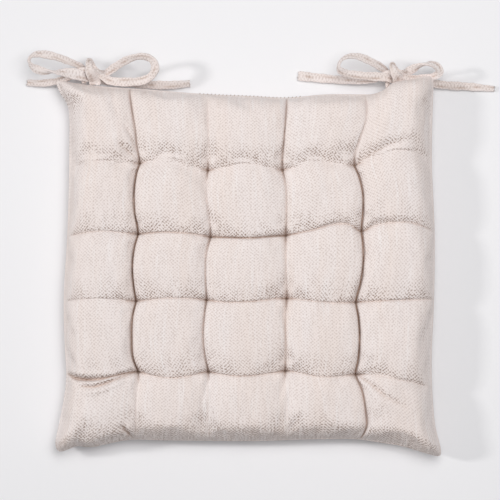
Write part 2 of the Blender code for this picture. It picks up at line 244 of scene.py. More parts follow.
# ---- ties ----
# Four ribbons of the cover's cloth, folded lengthwise and edge stitched, caught in the back seam by their
# roots. Each pair is tied in a bow: one ribbon lies under the knot, the other wraps over it.
TIE_WIDTH = 0.009
RIBBON_RINGS = 150
RIBBON_SIDES = 20
RIBBON_CLOTH = cloth_material("tie_cloth", 0.30, 0.36, 0.5, 0.5)

# Each row of a route is a step in millimetres from the middle of the bow's two roots, then how far the ribbon
# is turned about its own line from lying flat, in degrees, then its width in millimetres.
LEFT_OUTER_ROUTE = [
    (-6, 7, -1.5, 0, 6), (-6, 12.5, -2.5, 0, 7), (-7.5, 17.5, 0, 0, 7), (-13, 20.5, 6, -10, 7),
    (-22.5, 23.5, 11.5, -10, 7.5), (-32.5, 27, 14.5, 10, 8.5), (-43.5, 29.5, 16.5, 15, 9.5),
    (-54.5, 30.5, 17, 30, 9.5), (-62, 28, 16.5, 65, 9), (-64.5, 23, 15.5, 80, 9),
    (-61.5, 17.5, 14.5, 50, 9), (-54.5, 13.5, 13.5, 20, 9.5), (-45.5, 11.5, 12.5, 50, 9),
    (-34.5, 11.5, 11.5, 125, 9), (-22, 10.5, 10.5, 165, 11.5), (-8, 8.5, 7, 180, 12.5),
    (0, 7, 1.2, 180, 9), (7, 5.6, -4, 190, 7.5), (16, 4.6, -6, 200, 8.5), (30, 3.6, -7, 205, 9),
    (46, 2.4, -8.5, 200, 9), (62, 1, -10.5, 195, 9), (80, 1, -13.5, 190, 9.5), (95, 2, -16, 185, 8.5),
    (108.5, 3.5, -17.4, 180, 8),
]
LEFT_INNER_ROUTE = [
    (6, 3, 1.4, 0, 13), (5.5, 6, 5.6, 0, 13), (3.5, 9, 11.2, 0, 12), (1.5, 13, 14.2, 0, 10),
    (0.5, 18, 14, 0, 8), (0, 22.5, 10.5, 0, 7), (0.5, 25, 5, 0, 6.5), (2.5, 22.5, 0, 0, 6),
    (5.5, 17.5, -1.4, 0, 6), (10, 13, -0.5, 5, 6.5), (18, 11.5, 3.5, 10, 8), (29, 18, 8, 20, 9),
    (39.5, 23.5, 12, 30, 9), (50, 27, 14.5, 45, 8.5), (59.5, 27.5, 16, 45, 8.5), (68, 24.5, 16, 35, 9),
    (72, 18, 15, 25, 9.5), (71, 11.5, 13, 20, 9.5), (65.5, 5.5, 10.5, 15, 9.5), (55.5, 2, 8, 10, 10),
    (43.5, 1.5, 5.5, 5, 10), (31.5, 2, 4, 0, 10), (22, 3.5, 3.5, 0, 9), (14.5, 7.5, 5, 0, 7.5),
    (6, 13, 7.5, 0, 6), (-4, 15, 7.2, 0, 6), (-12, 13.5, 3.5, 5, 7), (-20, 9.2, -1, 10, 8),
    (-30, 6, -6, 15, 8.5), (-41.5, 4, -10.5, 15, 8.5), (-55, 3.5, -14.5, 10, 8.5), (-70, 4.5, -17.4, 5, 7),
]
RIGHT_INNER_ROUTE = [
    (-6, 7, -1.5, 0, 6), (-6, 12, -2.5, 0, 7), (-7.5, 17.5, 0, 0, 7), (-13.5, 20.5, 7, 10, 9),
    (-21, 24, 11, 15, 9), (-30.5, 28, 14, 15, 9), (-40, 31, 15.5, 25, 8.5), (-49.5, 31, 16, 50, 8),
    (-57, 27.5, 15.5, 65, 7.5), (-60.5, 21, 14.5, 75, 8), (-58.5, 15.5, 13, 50, 9),
    (-51, 12.5, 11.5, 30, 9), (-39, 11, 10.5, 20, 9), (-25, 10, 9.5, 15, 9.5), (-12, 9.5, 8, 10, 10),
    (-5, 8.4, 5.5, 5, 8), (1, 7, 0.6, 0, 7), (7, 5.6, -4, 10, 7), (15, 5.8, -6.5, 20, 8),
    (28, 6.2, -8.5, 25, 9), (43.5, 5.2, -10.5, 25, 9), (56, 4, -12.8, 25, 9.5), (68, 3.5, -15, 20, 9.5),
    (82, 3, -16.8, 10, 9), (94.5, 2, -17.4, 5, 8.5), (112.5, 0.5, -17.5, 5, 6),
]
RIGHT_OUTER_ROUTE = [
    (6, 4.4, 1.4, 0, 13), (5.3, 6.4, 5.6, 0, 13), (3.2, 9, 11, 0, 11.5), (0.5, 12.5, 13.8, 0, 9),
    (-1, 17, 13.6, 0, 7), (-1.5, 21.5, 10, 0, 6.5), (-1, 23.6, 5, 0, 6.5), (1.5, 21, 0.4, 0, 6),
    (5, 17, -1.2, 0, 6), (11, 15, 1, 10, 7), (19, 17.5, 6, 20, 9.5), (27, 21, 10, 60, 9),
    (34.5, 23, 12.5, 110, 8.5), (42.5, 22.5, 12.5, 150, 9), (48.5, 19, 10.5, 185, 9),
    (50, 14.5, 7, 200, 8.5), (46.5, 12, 2.5, 190, 8.5), (41, 10.5, -0.5, 180, 8.5),
    (33, 9.8, -1.5, 180, 8.5), (24, 9, 0, 180, 8.5), (15, 9.5, 3.5, 180, 7.5), (7, 13, 7, 180, 6),
    (-2, 14.5, 7.4, 180, 6), (-10, 13, 4, 180, 7), (-18, 9.5, -0.5, 180, 8), (-27.5, 8, -5, 185, 8),
    (-41, 8.3, -9.5, 200, 8.5), (-59.5, 10, -13.5, 160, 9), (-81.5, 12.5, -16.6, 180, 10),
    (-103, 15, -17.5, 180, 10.5),
]


def smooth_route(rows, count):
    """Evenly spaced places on the smooth line through the given rows, which start with a place in space."""
    route = np.array([rows[0], *rows, rows[-1]], dtype=float)
    fine = []
    for k in range(len(route) - 3):
        a, b, c, d = route[k:k + 4]
        for t in np.linspace(0, 1, 24, endpoint=False):
            fine.append(0.5 * (2 * b + (c - a) * t + (2 * a - 5 * b + 4 * c - d) * t**2
                               + (3 * b - a - 3 * c + d) * t**3))
    fine = np.array([*fine, rows[-1]])
    reach = np.concatenate([[0], np.cumsum(np.linalg.norm(np.diff(fine[:, :3], axis=0), axis=1))])
    even = np.linspace(0, reach[-1], count)
    return np.stack([np.interp(even, reach, column) for column in fine.T], axis=1)


def unit(vectors):
    return vectors / np.linalg.norm(vectors, axis=-1, keepdims=True)


def flat_sides(line):
    """For each place on a line, the level direction across it, kept steady where the line runs upright."""
    heading = unit(np.gradient(line, axis=0))
    across = np.cross((0, 0, 1), heading)
    for k in range(1, len(across)):
        if np.dot(across[k], across[k - 1]) < 0:
            across[k] = -across[k]
    reach = np.arange(len(line))
    near = np.exp(-((reach[:, None] - reach[None, :]) / 3.0) ** 2)
    across = near @ across
    across -= heading * np.sum(across * heading, axis=1, keepdims=True)
    return heading, unit(across)


def ribbon(name, body, route, middle, root, root_width, seed):
    """One folded ribbon along its route, with its pinched root, soft wrinkles, edge stitching and cut end."""
    start = [*((root - middle) / MILLIMETRE), 0.0, root_width]
    path = smooth_route([start, *route], RIBBON_RINGS)
    line = path[:, :3] * MILLIMETRE + np.array(middle)
    heading, across = flat_sides(line)
    upward = np.cross(heading, across)
    turn = np.radians(path[:, 3])[:, None]
    side = np.cos(turn) * across + np.sin(turn) * upward
    face = np.cos(turn) * upward - np.sin(turn) * across
    step = np.linalg.norm(line[1] - line[0]) / MILLIMETRE
    reach = np.arange(RIBBON_RINGS) * step
    width = path[:, 4] * (1 + 0.05 * np.sin(reach / 3.1 + seed) + 0.04 * np.sin(reach / 1.3 + 2 * seed))
    thick = 3.0 + 0.45 * np.sin(reach / 4.3 + 3 * seed) + 0.25 * np.sin(reach / 1.7 + seed)
    thick *= np.clip(0.35 + reach / 9, 0, 1)
    around = np.linspace(0, 2 * math.pi, RIBBON_SIDES, endpoint=False)
    flat = np.sign(np.cos(around)) * np.abs(np.cos(around)) ** 0.75
    proud = np.sign(np.sin(around)) * np.abs(np.sin(around)) ** 0.85
    rings = []
    painted_crease_shades = []
    for k in range(RIBBON_RINGS):
        wide = flat * width[k] / 2
        high = proud * thick[k] / 2
        stitched = np.exp(-((wide - 0.30 * width[k]) / 0.55) ** 2)
        flap = (0.04 + 0.22 * math.sin(reach[k] / 16 + 1.7 * seed)) * width[k]
        creased = np.exp(-((wide + flap) / 0.55) ** 2)
        step_up = 0.35 * np.tanh((wide + flap) / 0.4)
        high = high - np.sign(proud) * (0.38 * stitched + 0.8 * creased - step_up)
        high = high + 0.35 * (wide / 4.5) ** 2 * math.sin(reach[k] / 14 + seed)
        pucker = 0.16 * np.sin(reach[k] / 0.62 + 1.3 * wide + seed) * (0.4 + stitched)
        high = high + np.sign(proud) * pucker
        # Painted shade along the ribbon's fold and, fainter, along its stitching groove.
        painted_crease_shades.append(0.5 * creased + 0.12 * stitched)
        rings.append(line[k] + (wide[:, None] * side[k] + high[:, None] * face[k]) * MILLIMETRE)
    ragged = 0.7 * np.sin(5.0 * around + seed) + 0.5 * np.sin(9.0 * around)
    rings[-1] = rings[-1] + heading[-1] * ragged[:, None] * MILLIMETRE
    data = bpy.data.meshes.new(name)
    mesh = bmesh.new()
    made = [[mesh.verts.new(place) for place in ring] for ring in rings]
    uv = mesh.loops.layers.uv.new("cloth")
    girth = np.linspace(0, 2.1 * TIE_WIDTH, RIBBON_SIDES + 1)
    for k in range(RIBBON_RINGS - 1):
        for j in range(RIBBON_SIDES):
            after = (j + 1) % RIBBON_SIDES
            face_made = mesh.faces.new((made[k][j], made[k][after], made[k + 1][after], made[k + 1][j]))
            corners = ((k, j), (k, j + 1), (k + 1, j + 1), (k + 1, j))
            for loop, (ring, place) in zip(face_made.loops, corners):
                loop[uv].uv = (girth[place] + 0.05 * seed, ring * step * MILLIMETRE)
    for end in (made[0][::-1], made[-1]):
        centre = mesh.verts.new(sum((corner.co for corner in end), Vector()) / len(end))
        for j in range(RIBBON_SIDES):
            tip = mesh.faces.new((end[j], end[(j + 1) % RIBBON_SIDES], centre))
            for loop in tip.loops:
                loop[uv].uv = (0.05 * seed + 0.4 * (loop.vert.co.x), loop.vert.co.y)
    bmesh.ops.recalc_face_normals(mesh, faces=mesh.faces)
    mesh.to_mesh(data)
    mesh.free()
    piece = bpy.data.objects.new(name, data)
    bpy.context.scene.collection.objects.link(piece)
    data.materials.append(RIBBON_CLOTH)
    painted_shade_layer = data.attributes.new("painted_crease_shade", "FLOAT", "POINT")
    painted_shade_layer.data.foreach_set("value", np.concatenate([*painted_crease_shades, [0.0, 0.0]]))
    data.attributes.new("painted_front_shade", "FLOAT", "POINT")
    for polygon in data.polygons:
        polygon.use_smooth = True
    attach(piece, body)
    return piece, line


LEFT_MIDDLE = Vector((-0.175655, 0.200187, 0.020))
RIGHT_MIDDLE = Vector((0.155699, 0.197292, 0.020))
ROOTS = {
    "left_tie_outer": LEFT_MIDDLE + Vector((-0.0059, 0.00092, 0)),
    "left_tie_inner": LEFT_MIDDLE + Vector((0.0059, -0.00092, 0)),
    "right_tie_inner": RIGHT_MIDDLE + Vector((-0.0059, -0.0008, 0)),
    "right_tie_outer": RIGHT_MIDDLE + Vector((0.0059, 0.0008, 0)),
}
# The ribbon that wraps over a knot spreads wide at its root; the one under it is gathered.
TIES = [
    ("left_tie_outer", "left_bow", LEFT_OUTER_ROUTE, LEFT_MIDDLE, 5.0, 1.0),
    ("left_tie_inner", "left_bow", LEFT_INNER_ROUTE, LEFT_MIDDLE, 12.0, 2.3),
    ("right_tie_inner", "right_bow", RIGHT_INNER_ROUTE, RIGHT_MIDDLE, 5.0, 3.9),
    ("right_tie_outer", "right_bow", RIGHT_OUTER_ROUTE, RIGHT_MIDDLE, 12.0, 5.2),
]
for tie_node, bow, tie_route, bow_middle, tie_root_width, tie_seed in TIES:
    tie, tie_line = ribbon(tie_node + "_ribbon", bow, tie_route, bow_middle, ROOTS[tie_node],
                           tie_root_width, tie_seed)
    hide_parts(tie_node)


# ---- cover ----
# One square bag of herringbone cloth, its top and bottom panels joined by a knife-edge seam. Sixteen tufts
# pull the panels together, and between them the cloth folds into creases where the pillows press together.

# Lines of the cover in millimetres. A column is listed as y, x from front to back and a row as x, y from left
# to right; the first and last are the seam, those between run through the tufts.
COLUMNS = [
    [(-199.5, -209), (-189.7, -210.3), (-176, -207.8), (-158.3, -204.3), (-117, -198.9),
     (-90, -200.5), (-34.7, -202.2), (33.6, -198.9), (138.8, -197.3), (166, -197.6), (178, -199.4),
     (190, -207.5), (203.5, -213.5)],
    [(-188, -125), (-176, -123), (-143, -122), (-112.1, -121), (-100.3, -125.3), (-77.8, -127.2),
     (-55, -126.5), (-36.1, -123.5), (-23.1, -125.3), (-3.1, -126.8), (18, -125.3), (36.2, -121.6),
     (58.6, -124.7), (79.3, -125.4), (98.8, -123.4), (112.8, -120.1), (129.1, -122.6),
     (148.5, -124.7), (165.1, -127.5), (187.9, -131)],
    [(-188, -46), (-150, -45), (-112.1, -45.6), (-98, -48.4), (-77.8, -50.6), (-52, -49.5),
     (-34.9, -47.5), (-15.6, -48.1), (13, -47.5), (33.1, -43.4), (65.5, -46.6), (86.3, -47.9),
     (105.4, -46.3), (162.6, -45.9), (187, -47)],
    [(-187, 39), (-150, 38), (-111.2, 37), (-90.5, 37.7), (-56.4, 37.3), (-33.4, 38.9), (0, 37.9),
     (34.7, 37.8), (61.5, 38.5), (88.9, 37.5), (105.7, 34.4), (136.2, 36.2), (169.8, 38.7),
     (183, 39.5)],
    [(-187, 117.1), (-172.7, 123.4), (-154.3, 122.7), (-133, 119.1), (-114.9, 112.7),
     (-101.9, 114.9), (-76.3, 116.6), (-56, 115.8), (-37.4, 113.5), (-19.6, 117.7), (3.3, 120.9),
     (24.2, 120.9), (39.3, 119.7), (61.5, 121.1), (78.9, 120.7), (96.4, 117.2), (110.7, 112.2),
     (138.6, 118.4), (157.3, 124.3), (184.7, 125.2)],
    [(-206, 206), (-195, 204.9), (-175.6, 200), (-142, 196.7), (-107.3, 195.7), (-34.7, 198.9),
     (37.9, 200), (118.2, 197.5), (150, 198), (193, 199.7), (208, 200.3)],
]
ROWS = [
    [(-210, -198.5), (-203, -199.5), (-192, -196.5), (-181, -192.5), (-172, -194.3), (-150, -190.5),
     (-133.9, -187), (-90, -186.8), (-47.2, -187.2), (-1.6, -187.6), (74.3, -185.5),
     (118.7, -186.2), (140, -189.5), (161, -193), (188.1, -201.6), (200, -204.7), (206, -205)],
    [(-199, -113.9), (-188.6, -120.2), (-175, -121.9), (-161.3, -120.9), (-140, -116.2),
     (-121, -113.3), (-104, -117), (-85.4, -119.5), (-64, -117.2), (-45.6, -113.3), (-30, -116.2),
     (-10.8, -117.6), (16, -115.7), (37, -112.4), (72.4, -117.9), (95, -118), (112.7, -116.1),
     (140, -117.7), (157.4, -120.8), (194.3, -129.2)],
    [(-201, -37.2), (-163, -35.2), (-123.5, -37.3), (-91.7, -34.8), (-47.5, -36.1), (-29.5, -38.6),
     (0, -38), (38.9, -34.6), (72, -38.2), (95, -39.5), (113.5, -38.6), (160, -36.8), (198.5, -35)],
    [(-199, 32.8), (-162, 37.3), (-121.6, 35), (-91.7, 36.4), (-65, 34.8), (-43.4, 31.9),
     (-20, 30.7), (1.6, 30.3), (22, 32), (37.8, 33.5), (65.5, 38.5), (90.4, 44.8), (104, 45.3),
     (119.7, 38.1), (133, 43.3), (146.3, 46), (177.4, 45.4), (199, 37.8)],
    [(-197.5, 109.8), (-160, 112.8), (-120.1, 111.6), (-87, 115.8), (-46.3, 104.2), (-6, 110.3),
     (34.4, 104.5), (72, 112.8), (112.2, 109.5), (145, 121.8), (170, 124.3), (197.5, 116.8)],
    [(-213, 205), (-200, 204.5), (-188, 202.3), (-167.5, 199.3), (-108.9, 194.9), (-47.2, 189.4),
     (-0.5, 187.3), (39.6, 185.6), (75.3, 189.1), (112, 189.2), (125.2, 189.4), (135, 192),
     (144.7, 197.5), (151.2, 203.1), (162, 205.8), (178.3, 208), (192.4, 209.4), (200, 210)],
]
# How sharply each stretch is creased, 0 to 1: columns from front to back, rows from left to right.
COLUMN_CREASES = [[0.20, 1.0, 1.0, 1.0, 0.60], [0.10, 0.62, 0.50, 0.35, 0.22],
                  [0.10, 0.42, 0.32, 0.42, 0.60], [0.75, 1.0, 1.0, 0.95, 0.35]]
ROW_CREASES = [[0.70, 0.36, 0.36, 0.32, 0.30], [0.25, 0.34, 0.40, 0.34, 0.38],
               [0.34, 0.42, 0.68, 0.46, 0.36], [0.05, 0.10, 0.10, 0.10, 0.15]]
LINE_X = (-205, -122, -46.5, 37.5, 116, 201)  # each line's middle place
LINE_Y = (-190, -113, -36, 36, 109, 192)
PILLOWS = 5
CELLS_PER_PILLOW = 22
CROWDING = 0.62  # how much closer the mesh lines stand at a crease than in a pillow's middle
SEAM_Z = 20.0
FLANGE = 2.2  # flat strip of cloth inside the seam
FLANGE_HALF = 1.2
TOP_CROWN = 24.5
BOTTOM_CROWN = 24.0
# How far in from the flange each panel reaches its crown: left, right, front, back.
TOP_SIDE = (22.0, 22.0, 17.0, 22.0)
BOTTOM_SIDE = (19.0, 19.0, 19.0, 19.0)
CREASE_LOSS = 0.42  # share of the crown lost on a crease
SHARP_REACH = 12.0
SOFT_REACH = 27.0
CORNER_ROUNDING = 1.9


def along_line(points, at):
    """The smooth line through points (place, value), read at every place in at."""
    places, values = np.array(points, dtype=float).T
    slopes = np.gradient(values, places)
    k = np.clip(np.searchsorted(places, at) - 1, 0, len(places) - 2)
    gap = places[k + 1] - places[k]
    t = np.clip((at - places[k]) / gap, 0, 1)
    return ((2 * t**3 - 3 * t**2 + 1) * values[k] + (t**3 - 2 * t**2 + t) * gap * slopes[k]
            + (3 * t**2 - 2 * t**3) * values[k + 1] + (t**3 - t**2) * gap * slopes[k + 1])


def between(lines, share):
    """Values between neighbouring lines, at a place counted in pillows."""
    low = np.clip(np.floor(share).astype(int), 0, PILLOWS - 1)
    part = share - low
    stacked = np.stack(lines)
    first = np.take_along_axis(stacked, low[None], axis=0)[0]
    second = np.take_along_axis(stacked, (low + 1)[None], axis=0)[0]
    return first * (1 - part) + second * part


def stations():
    """Places of the mesh lines, counted in pillows, crowded towards every crease and the seam."""
    even = np.linspace(0, PILLOWS, PILLOWS * CELLS_PER_PILLOW + 1)
    return even - CROWDING * np.sin(2 * math.pi * even) / (2 * math.pi)


def plan(a, b):
    """Where a place counted in pillows lies in plan."""
    x_line = np.interp(a, range(PILLOWS + 1), LINE_X)
    y = between([along_line(row, x_line) for row in ROWS], b)
    x = between([along_line(column, y) for column in COLUMNS], a)
    s, t = 2 * a / PILLOWS - 1, 2 * b / PILLOWS - 1
    corner = CORNER_ROUNDING * np.abs(s * t) ** 68
    return x - np.sign(s) * corner, y - np.sign(t) * corner


def tuft_reach(x, y):
    """Distance to the nearest tuft."""
    places = [(along_line(COLUMNS[c], np.array(y_line)), y_line) for c, y_line in tuft_rows()]
    return np.min([np.hypot(x - px, y - py) for px, py in places], axis=0)


def tuft_rows():
    """Column and y of each tuft, which stands where its column meets its row."""
    found = []
    for c in range(1, PILLOWS):
        for r in range(1, PILLOWS):
            x_line = along_line(COLUMNS[c], np.array(float(LINE_Y[r])))
            found.append((c, float(along_line(ROWS[r], x_line))))
    return found


def line_loss(strengths, share, gap, near_tuft):
    """Share of the crown lost to one crease line, from its sharpness there and the distance to it."""
    segment = np.clip(np.floor(share).astype(int), 0, PILLOWS - 1)
    strength = np.array(strengths)[segment]
    strength = strength + (1 - strength) * near_tuft
    sharp = 1 - np.sqrt(1 - (1 - np.clip(gap / SHARP_REACH, 0, 1)) ** 2)
    soft = np.cos(math.pi / 2 * np.clip(gap / SOFT_REACH, 0, 1)) ** 2
    return CREASE_LOSS * (strength * sharp + (1 - strength) * 0.42 * soft)


def pillow_height(a, b, x, y):
    """How full the pad stands at a place, from 0 at a seam to 1 on a pillow."""
    near_tuft = np.exp(-(tuft_reach(x, y) / 9.0) ** 2)
    full = np.ones_like(x)
    for c in range(1, PILLOWS):
        gap = np.abs(x - along_line(COLUMNS[c], y))
        full = full * (1 - line_loss(COLUMN_CREASES[c - 1], b, gap, near_tuft))
    for r in range(1, PILLOWS):
        gap = np.abs(y - along_line(ROWS[r], x))
        full = full * (1 - line_loss(ROW_CREASES[r - 1], a, gap, near_tuft))
    return full


def rim_gaps(x, y):
    """Distance to each of the four sides of the seam."""
    return (x - along_line(COLUMNS[0], y), along_line(COLUMNS[-1], y) - x,
            y - along_line(ROWS[0], x), along_line(ROWS[-1], x) - y)


def rim_fall(gaps, sides):
    """How the crown rounds off to the flange, as a share."""
    fall = 1.0
    for gap, side in zip(gaps, sides):
        inward = np.clip((gap - FLANGE) / side, 0, 1)
        fall = fall * np.sqrt(1 - (1 - inward) ** 2)
    return fall


def cover_heights(a, b):
    """Top and bottom height of the cover at each place, and the place in plan."""
    x, y = plan(a, b)
    full = pillow_height(a, b, x, y)
    gaps = rim_gaps(x, y)
    dimple = np.exp(-(tuft_reach(x, y) / 4.5) ** 2)
    top = SEAM_Z + FLANGE_HALF + TOP_CROWN * full * rim_fall(gaps, TOP_SIDE) - 2.5 * dimple
    bottom = SEAM_Z - FLANGE_HALF - BOTTOM_CROWN * full * rim_fall(gaps, BOTTOM_SIDE) + 1.5 * dimple
    return x, y, top, np.maximum(bottom, 0.0)


def bag_mesh(name, x, y, top, bottom):
    """A closed bag from a grid of places: top panel, bottom panel and the fold of the seam between them."""
    count = len(x)
    mesh = bmesh.new()
    layers = []
    for z in (top, bottom):
        layers.append([[mesh.verts.new((x[i, j] * MILLIMETRE, y[i, j] * MILLIMETRE, z[i, j] * MILLIMETRE))
                        for j in range(count)] for i in range(count)])
    upper, lower = layers
    for i in range(count - 1):
        for j in range(count - 1):
            mesh.faces.new((upper[i][j], upper[i + 1][j], upper[i + 1][j + 1], upper[i][j + 1]))
            mesh.faces.new((lower[i][j], lower[i][j + 1], lower[i + 1][j + 1], lower[i + 1][j]))
    rim = [(i, 0) for i in range(count - 1)] + [(count - 1, j) for j in range(count - 1)]
    rim += [(i, count - 1) for i in range(count - 1, 0, -1)] + [(0, j) for j in range(count - 1, 0, -1)]
    for k, (i, j) in enumerate(rim):
        i2, j2 = rim[(k + 1) % len(rim)]
        mesh.faces.new((upper[i][j], lower[i][j], lower[i2][j2], upper[i2][j2]))
    data = bpy.data.meshes.new(name)
    bmesh.ops.recalc_face_normals(mesh, faces=mesh.faces)
    mesh.to_mesh(data)
    mesh.free()
    piece = bpy.data.objects.new(name, data)
    bpy.context.scene.collection.objects.link(piece)
    return piece


def positions(piece):
    places = np.empty(len(piece.data.vertices) * 3)
    piece.data.vertices.foreach_get("co", places)
    return places.reshape(-1, 3)


def set_positions(piece, places):
    piece.data.vertices.foreach_set("co", places.ravel())
    piece.data.update()


line_places = stations()
grid_a, grid_b = np.meshgrid(line_places, line_places, indexing="ij")
plan_x, plan_y, top_z, bottom_z = cover_heights(grid_a, grid_b)
cover = bag_mesh("cover", plan_x, plan_y, top_z, bottom_z)

# The flat cloth's own measure: how far each mesh line lies from the middle one along the cloth.
PER_SIDE = len(line_places) ** 2


def cloth_measure(across, along, height, axis):
    """Average length along the cloth to each mesh line, from the middle one."""
    place = np.stack([across, along, height])
    steps = np.linalg.norm(np.diff(place, axis=axis + 1), axis=0)
    mean = steps.mean(axis=1 - axis)
    reach = np.concatenate([[0], np.cumsum(mean)])
    return (reach - reach[len(reach) // 2]) * MILLIMETRE


flat_x = cloth_measure(plan_x, plan_y, top_z, 0)
flat_y = cloth_measure(plan_x, plan_y, top_z, 1)
uv_layer = cover.data.uv_layers.new(name="cloth")
corner_vertex = np.empty(len(cover.data.loops), dtype=int)
cover.data.loops.foreach_get("vertex_index", corner_vertex)
grid_place = corner_vertex % PER_SIDE
flat_uv = np.stack([flat_x[grid_place // len(line_places)], flat_y[grid_place % len(line_places)]], axis=1)
flat_uv[corner_vertex >= PER_SIDE] += (0.61, 0.37)
uv_layer.data.foreach_set("uv", flat_uv.ravel())

# Filled: the fibre inside presses the cloth out between the tufts and the seam, which hold it.
PUFF_PRESSURE = 4.0
PUFF_FRAMES = 20
PUFF_CAP = 0.006
rest_places = positions(cover)
millimetres = rest_places / MILLIMETRE
held_tuft = np.exp(-(tuft_reach(millimetres[:, 0], millimetres[:, 1]) / 5.0) ** 4)
held_rim = np.min(rim_gaps(millimetres[:, 0], millimetres[:, 1]), axis=0) < FLANGE + 0.5
pin_group = cover.vertex_groups.new(name="held")
for index, weight in enumerate(np.maximum(held_tuft, held_rim)):
    if weight > 0.02:
        pin_group.add([index], float(min(weight, 1.0)), "REPLACE")
puff = cover.modifiers.new("puff", "CLOTH")
puff.settings.quality = 6
puff.settings.mass = 0.3
puff.settings.tension_stiffness = 15
puff.settings.compression_stiffness = 15
puff.settings.shear_stiffness = 5
puff.settings.bending_stiffness = 0.2
puff.settings.use_pressure = True
puff.settings.uniform_pressure_force = PUFF_PRESSURE
puff.settings.shrink_min = -0.02
puff.settings.effector_weights.gravity = 0.0
puff.settings.vertex_group_mass = pin_group.name
for step in range(1, PUFF_FRAMES + 1):
    bpy.context.scene.frame_set(step)
bpy.context.view_layer.objects.active = cover
bpy.ops.object.modifier_apply(modifier="puff")
bpy.context.scene.frame_set(1)
moved = positions(cover) - rest_places
far = np.linalg.norm(moved, axis=1, keepdims=True)
moved *= np.minimum(1.0, PUFF_CAP / np.maximum(far, 1e-9))
settled = rest_places + moved
settled[:, 2] = np.maximum(settled[:, 2], 0.0)
set_positions(cover, settled)
cover.vertex_groups.clear()

smooth = cover.modifiers.new("smooth", "SUBSURF")
smooth.levels = 1
smooth.render_levels = 1
bpy.context.view_layer.objects.active = cover
bpy.ops.object.modifier_apply(modifier="smooth")

# Folds that run off the creases: places along each, then its depth and half width, all in millimetres.
FOLDS = [
    ([(-199.3, -112.8), (-188.6, -119), (-175, -121), (-161.3, -120), (-150, -118.5)], 3.4, 1.8),
    ([(-181, -128.5), (-167.4, -129.5), (-152.1, -125), (-136.9, -118.2), (-123.2, -113)], 4.2, 2.0),
    ([(-135.7, 152.6), (-128.9, 138.8), (-122, 122)], 1.6, 1.6),
    ([(-142, 132), (-128.9, 121), (-121, 113.5)], 2.2, 2.6),
    ([(-149.6, 192), (-148.2, 176), (-143, 160)], 1.0, 3.0),
    ([(-114.4, 191), (-115, 184)], 2.0, 1.6),
    ([(113.5, -115.5), (126.3, -124.6), (143.2, -139.4), (166, -151.4)], 3.0, 2.2),
    ([(-137, -171), (-131, -178), (-126, -184)], 6.0, 1.8),
    ([(113, 111.5), (128, 119), (145.2, 128.7), (165, 137)], 1.6, 4.0),
]


def line_distance(x, y, line):
    """Distance of every place to a line, and how far along the line its nearest point lies, from 0 to 1."""
    best = np.full(len(x), 1e9)
    share = np.zeros(len(x))
    parts = len(line) - 1
    for k in range(parts):
        (x1, y1), (x2, y2) = line[k], line[k + 1]
        span = (x2 - x1) ** 2 + (y2 - y1) ** 2
        t = np.clip(((x - x1) * (x2 - x1) + (y - y1) * (y2 - y1)) / span, 0, 1)
        gap = np.hypot(x - x1 - t * (x2 - x1), y - y1 - t * (y2 - y1))
        nearer = gap < best
        best = np.where(nearer, gap, best)
        share = np.where(nearer, (k + t) / parts, share)
    return best, share


COLUMN_SINK = 6.0  # how deep a crease would run at a hold of 1; the sharpest reach 0.75
ROW_SINK = 5.5
MOST_SINK = 8.0
FRONT_EAR = (204, -196)  # the drooping tip of each front corner, x on either side
EAR_REACH = 21.0


def crease_hold(strengths, gap, share, near_tuft, half_width):
    """How tightly a crease is closed at each place, from 0 up to 0.75 on the line of the sharpest ones."""
    segment = np.clip(np.floor(share).astype(int), 0, PILLOWS - 1)
    strength = np.array(strengths)[segment]
    strength = strength + (1 - strength) * 0.5 * near_tuft
    return np.clip(strength - 0.25, 0, 1) * np.exp(-np.abs(gap / half_width) ** 1.6)


shaped = positions(cover)
shaped_x, shaped_y = shaped[:, 0] / MILLIMETRE, shaped[:, 1] / MILLIMETRE
on_top = shaped[:, 2] > SEAM_Z * MILLIMETRE
shaped_tuft = tuft_reach(shaped_x, shaped_y)
near = np.exp(-(shaped_tuft / 9.0) ** 2)
share_a = np.interp(shaped_x, LINE_X, range(PILLOWS + 1))
share_b = np.interp(shaped_y, LINE_Y, range(PILLOWS + 1))
sink = np.zeros(len(shaped))
# Painted shade: brown painted into the tuft dimples, the creases and the folds, where shade falls.
painted_crease_shade = 0.9 * np.exp(-(shaped_tuft / 1.7) ** 2)
for c in range(1, PILLOWS):
    line_gap = np.abs(shaped_x - along_line(COLUMNS[c], shaped_y))
    sharpness = COLUMN_CREASES[c - 1]
    sink += COLUMN_SINK * crease_hold(sharpness, line_gap, share_b, near, 0.9)
    painted_crease_shade = np.maximum(painted_crease_shade, 1.3 * crease_hold(sharpness, line_gap, share_b, near, 0.82))
for r in range(1, PILLOWS):
    line_gap = np.abs(shaped_y - along_line(ROWS[r], shaped_x))
    sharpness = ROW_CREASES[r - 1]
    sink += ROW_SINK * crease_hold(sharpness, line_gap, share_a, near, 0.85)
    painted_crease_shade = np.maximum(painted_crease_shade, 1.3 * crease_hold(sharpness, line_gap, share_a, near, 0.78))
for fold_line, fold_depth, fold_width in FOLDS:
    fold_gap, fold_share = line_distance(shaped_x, shaped_y, fold_line)
    fade = np.sin(math.pi * np.clip(fold_share, 0.0, 1.0) ** 0.7) * 0.75 + 0.25
    hollow = np.exp(-(fold_gap / fold_width) ** 2)
    swell = 0.35 * np.exp(-((fold_gap - 2.6 * fold_width) / (1.4 * fold_width)) ** 2)
    sink += fold_depth * fade * (hollow - swell)
    painted_crease_shade = np.maximum(painted_crease_shade, 0.13 * fold_depth * fade * np.exp(-(fold_gap / 0.9) ** 2))
rim_gap = np.min(rim_gaps(shaped_x, shaped_y), axis=0)
inner = np.clip((rim_gap - 1.0) / 4.0, 0, 1)
sink = np.minimum(sink, MOST_SINK) * inner
pucker = 1 + 0.5 * np.sin(shaped_x / 2.7 + np.sin(shaped_y / 7)) * np.sin(shaped_y / 3.1)
